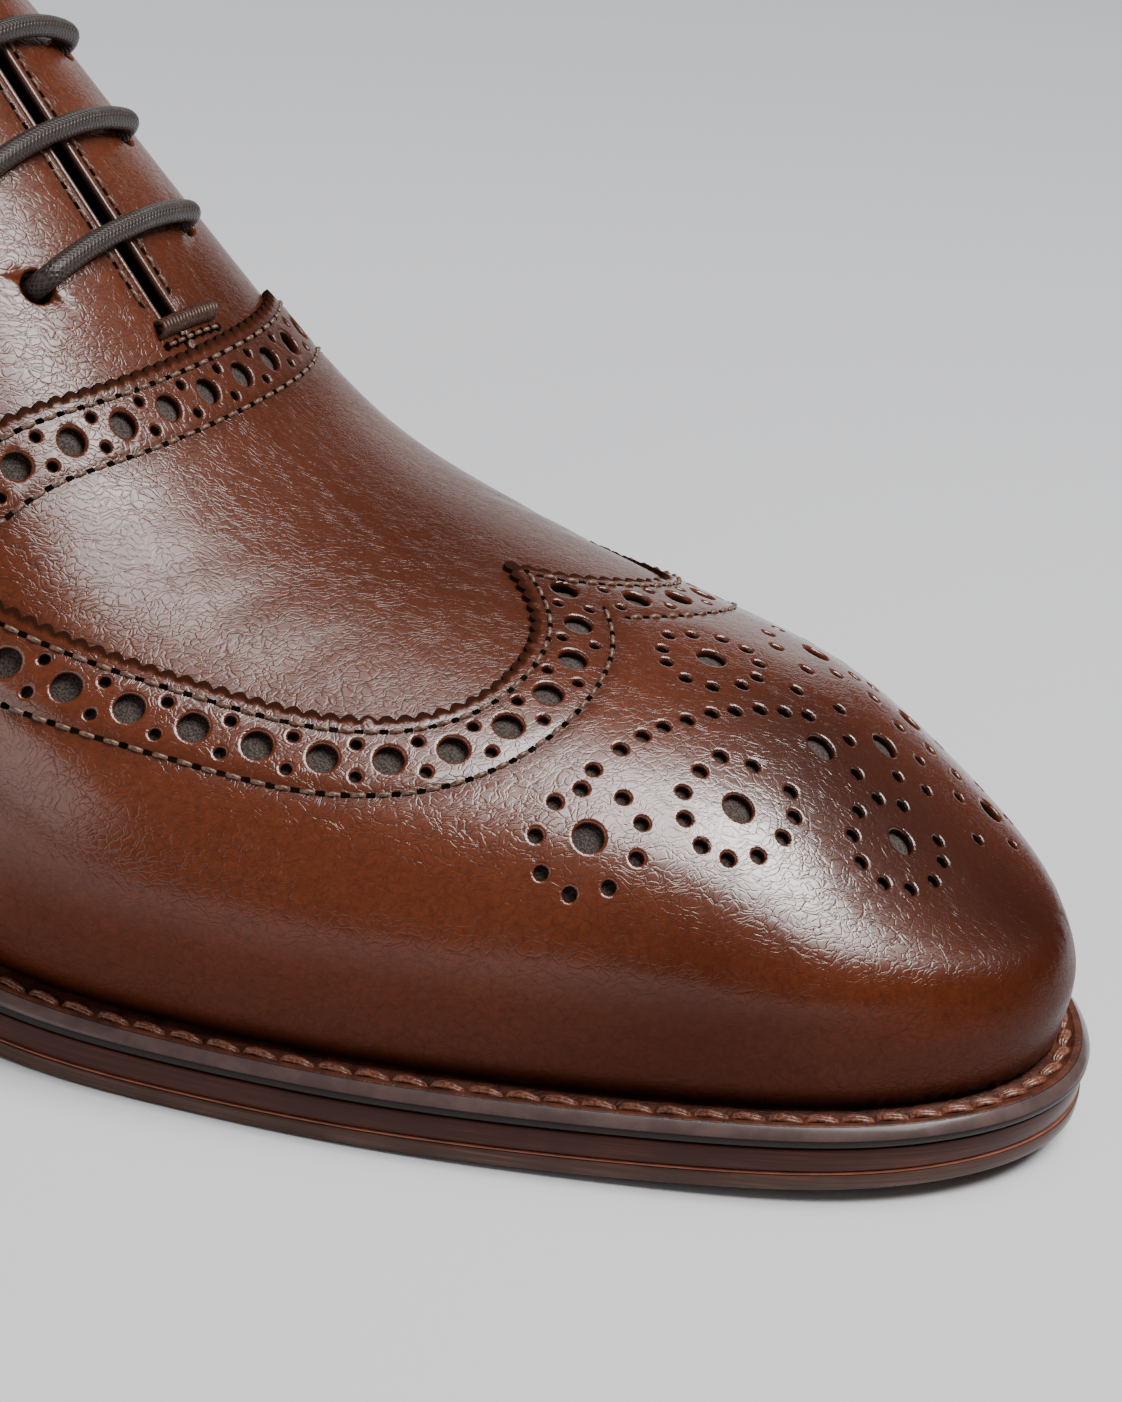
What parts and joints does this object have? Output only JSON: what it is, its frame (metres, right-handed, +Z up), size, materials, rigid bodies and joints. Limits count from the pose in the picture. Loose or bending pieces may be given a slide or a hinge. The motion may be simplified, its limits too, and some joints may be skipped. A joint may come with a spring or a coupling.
{
  "type": "brogue oxford shoe",
  "caption": "Right leather full-brogue oxford shoe with winged punched toe cap, closed straight lacing, stitched welt and stacked low heel",
  "frame": {"origin": "on the floor under the middle of the heel, where the heel's top piece rests", "axes": "+X runs from the heel to the toe, +Y to the inner (big toe) side of the foot, +Z up"},
  "size_m": [0.3002, 0.11, 0.1166],
  "materials": {
    "upper_leather": "burnished, waxed, fine grained",
    "welt_leather": "polished edge, stitched",
    "sole_leather": "dark, waxed, burnished edge",
    "lining_leather": "matt, smooth",
    "heel_rubber": "matt",
    "lace_cord": "waxed round cord"
  },
  "bodies": {
    "root": {"outsole": "sole_leather", "midsole": "sole_leather", "welt": "welt_leather", "heel_stack": "sole_leather", "heel_top_piece": "heel_rubber", "insole": "lining_leather", "upper": "upper_leather", "vamp": "upper_leather", "wing_cap": "upper_leather", "heel_counter": "upper_leather", "tongue": "upper_leather", "lace_bar_1": "lace_cord", "lace_bar_2": "lace_cord", "lace_bar_3": "lace_cord", "lace_bar_4": "lace_cord", "lace_bar_5": "lace_cord"}
  },
  "joints": []
}
